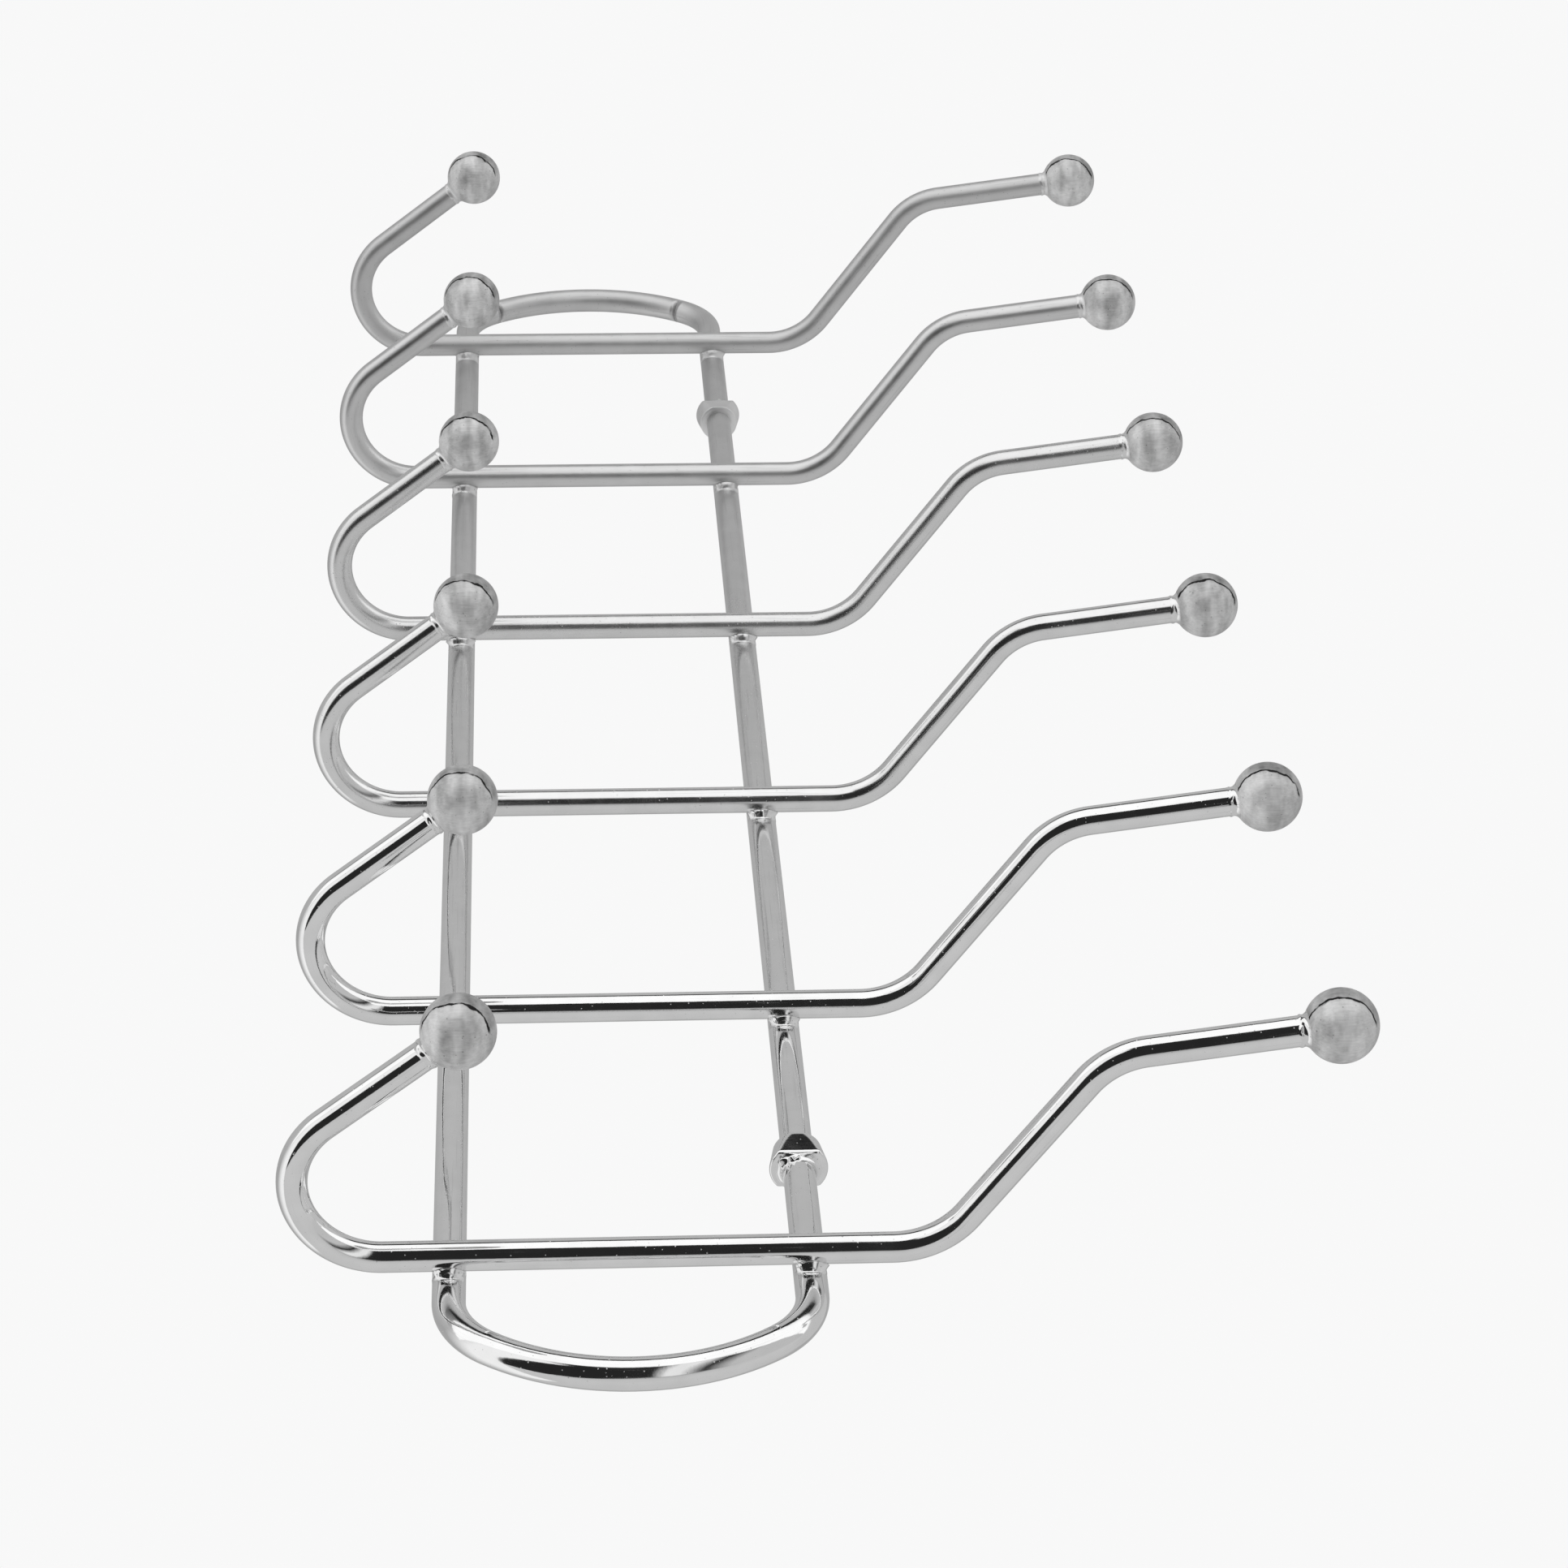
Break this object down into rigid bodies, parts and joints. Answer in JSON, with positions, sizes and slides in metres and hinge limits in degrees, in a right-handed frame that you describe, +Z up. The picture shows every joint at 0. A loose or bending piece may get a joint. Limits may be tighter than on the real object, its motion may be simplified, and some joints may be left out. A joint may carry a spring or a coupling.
{
  "type": "wall hook rack",
  "caption": "Chrome wire hook rack: an oblong wire frame with double coat hooks welded across it, a ball on every hook end, hung from two lugs on its upper rail.",
  "frame": {"origin": "on the wall plane, at the height of the upper rail's axis, midway between the two hanging sockets", "axes": "+X along the rails towards hook 1, +Y into the wall, +Z up; the hooks stand out towards -Y"},
  "size_m": [0.4543, 0.0557, 0.1725],
  "materials": {
    "frame_wire": "bright chrome plate over drawn steel wire",
    "hook_wire": "bright chrome plate over drawn steel wire",
    "balls": "softer, slightly satin chrome plate",
    "lugs": "bright chrome plate",
    "welds": "chrome plate over rough weld metal"
  },
  "bodies": {
    "root": {"frame_loop": "frame_wire", "top_rail_span": "frame_wire", "hanger_lug_left": "lugs", "hanger_lug_right": "lugs", "lug_welds": "welds", "hook_wire_1": "hook_wire", "hook_wire_2": "hook_wire", "hook_wire_3": "hook_wire", "hook_wire_4": "hook_wire", "hook_wire_5": "hook_wire", "hook_wire_6": "hook_wire", "upper_ball_1": "balls", "upper_ball_2": "balls", "upper_ball_3": "balls", "upper_ball_4": "balls", "upper_ball_5": "balls", "upper_ball_6": "balls", "lower_ball_1": "balls", "lower_ball_2": "balls", "lower_ball_3": "balls", "lower_ball_4": "balls", "lower_ball_5": "balls", "lower_ball_6": "balls", "upper_rail_welds": "welds", "lower_rail_welds": "welds", "upper_ball_welds": "welds", "lower_ball_welds": "welds"}
  },
  "joints": []
}
